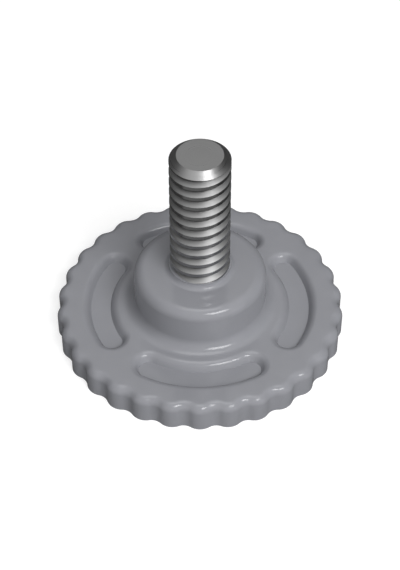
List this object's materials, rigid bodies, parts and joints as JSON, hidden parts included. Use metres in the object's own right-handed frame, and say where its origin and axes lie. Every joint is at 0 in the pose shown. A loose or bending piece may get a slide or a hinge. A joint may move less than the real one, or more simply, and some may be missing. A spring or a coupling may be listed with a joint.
{
  "type": "knurled thumb screw",
  "caption": "Low plastic knob with a scalloped rim and kidney-shaped pockets, moulded round an upright threaded steel stud.",
  "frame": {"origin": "centre of the knob's flat underside, which the screw stands on", "axes": "+Z along the stud towards its tip; a lobe of the rim faces -Y and another +Y"},
  "size_m": [0.031, 0.031, 0.0242],
  "materials": {
    "knob_plastic": "grey glass-filled nylon, moulded, satin",
    "stud_steel": "plain steel, thread rolled, lightly oiled"
  },
  "bodies": {
    "root": {"knob": "knob_plastic", "threaded_stud": "stud_steel"}
  },
  "joints": []
}
